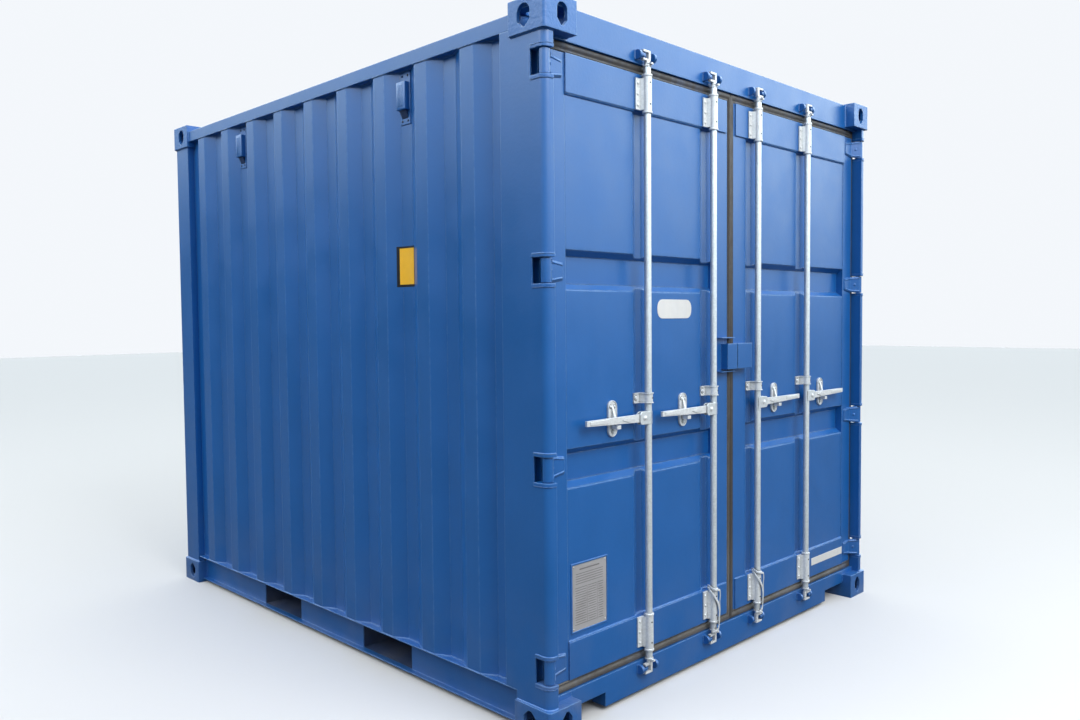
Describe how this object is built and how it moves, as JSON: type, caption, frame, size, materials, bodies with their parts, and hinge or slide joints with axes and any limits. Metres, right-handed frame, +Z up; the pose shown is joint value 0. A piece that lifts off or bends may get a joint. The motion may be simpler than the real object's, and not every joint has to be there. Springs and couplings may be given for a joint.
{
  "type": "shipping container",
  "caption": "Short steel freight container with corrugated walls, double doors on hinges, turning locking bars with lift handles, fork pockets and corner castings.",
  "frame": {"origin": "middle of the footprint, level with the undersides of the bottom corner castings", "axes": "+X towards the door end along the length, +Y towards the right door and right side, +Z up"},
  "size_m": [2.991, 2.438, 2.591],
  "materials": {
    "blue_paint": "satin blue paint, slightly faded",
    "base_paint": "matt dark blue paint",
    "plywood": "oiled plywood",
    "seal_rubber": "matt dark rubber",
    "galvanised": "galvanised steel",
    "plate_aluminium": "dull aluminium"
  },
  "bodies": {
    "container": {"castings_top": "blue_paint", "castings_bottom": "blue_paint", "door_post_left": "blue_paint", "door_post_right": "blue_paint", "end_post_left": "blue_paint", "end_post_right": "blue_paint", "top_rail_left": "blue_paint", "top_rail_right": "blue_paint", "bottom_rail_left": "blue_paint", "bottom_rail_right": "blue_paint", "door_header": "blue_paint", "door_sill": "blue_paint", "end_top_rail": "blue_paint", "end_bottom_rail": "blue_paint", "roof": "blue_paint", "side_wall_left": "blue_paint", "side_wall_right": "blue_paint", "end_wall": "blue_paint", "keepers": "blue_paint", "vents": "blue_paint", "hinge_lugs": "blue_paint", "cross_members": "base_paint", "fork_pockets": "base_paint", "floor": "plywood"},
    "door_left": {"door_frame_left": "blue_paint", "door_panel_left": "blue_paint", "door_seal_left": "seal_rubber", "hinge_blades_left": "blue_paint", "bar_bearings_left": "galvanised", "handle_catches_left": "galvanised", "lock_bracket": "blue_paint", "data_plate": "plate_aluminium"},
    "door_right": {"door_frame_right": "blue_paint", "door_panel_right": "blue_paint", "door_seal_right": "seal_rubber", "hinge_blades_right": "blue_paint", "bar_bearings_right": "galvanised", "handle_catches_right": "galvanised", "lock_box": "blue_paint"},
    "locking_bar_1": {"locking_bar_1": "galvanised", "cams_1": "galvanised"},
    "locking_bar_2": {"locking_bar_2": "galvanised", "cams_2": "galvanised"},
    "locking_bar_3": {"locking_bar_3": "galvanised", "cams_3": "galvanised"},
    "locking_bar_4": {"locking_bar_4": "galvanised", "cams_4": "galvanised"},
    "handle_1": {"handle_1": "galvanised"},
    "handle_2": {"handle_2": "galvanised"},
    "handle_3": {"handle_3": "galvanised"},
    "handle_4": {"handle_4": "galvanised"}
  },
  "joints": [
    {"name": "door_left_swing", "type": "hinge", "parent": "container", "child": "door_left", "pos_m": [1.4605, -1.184, 1.3], "axis": [0, 0, 1], "range_deg": [-256, 0]},
    {"name": "door_right_swing", "type": "hinge", "parent": "container", "child": "door_right", "pos_m": [1.4605, 1.184, 1.3], "axis": [0, 0, -1], "range_deg": [-256, 0]},
    {"name": "bar_1_turn", "type": "hinge", "parent": "door_left", "child": "locking_bar_1", "pos_m": [1.4655, -0.626, 1.3], "axis": [0, 0, 1], "range_deg": [0, 100]},
    {"name": "bar_2_turn", "type": "hinge", "parent": "door_left", "child": "locking_bar_2", "pos_m": [1.4655, -0.177, 1.3], "axis": [0, 0, 1], "range_deg": [0, 100]},
    {"name": "bar_3_turn", "type": "hinge", "parent": "door_right", "child": "locking_bar_3", "pos_m": [1.4655, 0.177, 1.3], "axis": [0, 0, -1], "range_deg": [0, 100]},
    {"name": "bar_4_turn", "type": "hinge", "parent": "door_right", "child": "locking_bar_4", "pos_m": [1.4655, 0.626, 1.3], "axis": [0, 0, -1], "range_deg": [0, 100]},
    {"name": "handle_1_lift", "type": "hinge", "parent": "locking_bar_1", "child": "handle_1", "pos_m": [1.4685, -0.661, 1.103], "axis": [-1, 0, 0], "range_deg": [0, 25]},
    {"name": "handle_2_lift", "type": "hinge", "parent": "locking_bar_2", "child": "handle_2", "pos_m": [1.4685, -0.212, 1.103], "axis": [-1, 0, 0], "range_deg": [0, 25]},
    {"name": "handle_3_lift", "type": "hinge", "parent": "locking_bar_3", "child": "handle_3", "pos_m": [1.4685, 0.212, 1.103], "axis": [1, 0, 0], "range_deg": [0, 25]},
    {"name": "handle_4_lift", "type": "hinge", "parent": "locking_bar_4", "child": "handle_4", "pos_m": [1.4685, 0.661, 1.103], "axis": [1, 0, 0], "range_deg": [0, 25]}
  ]
}
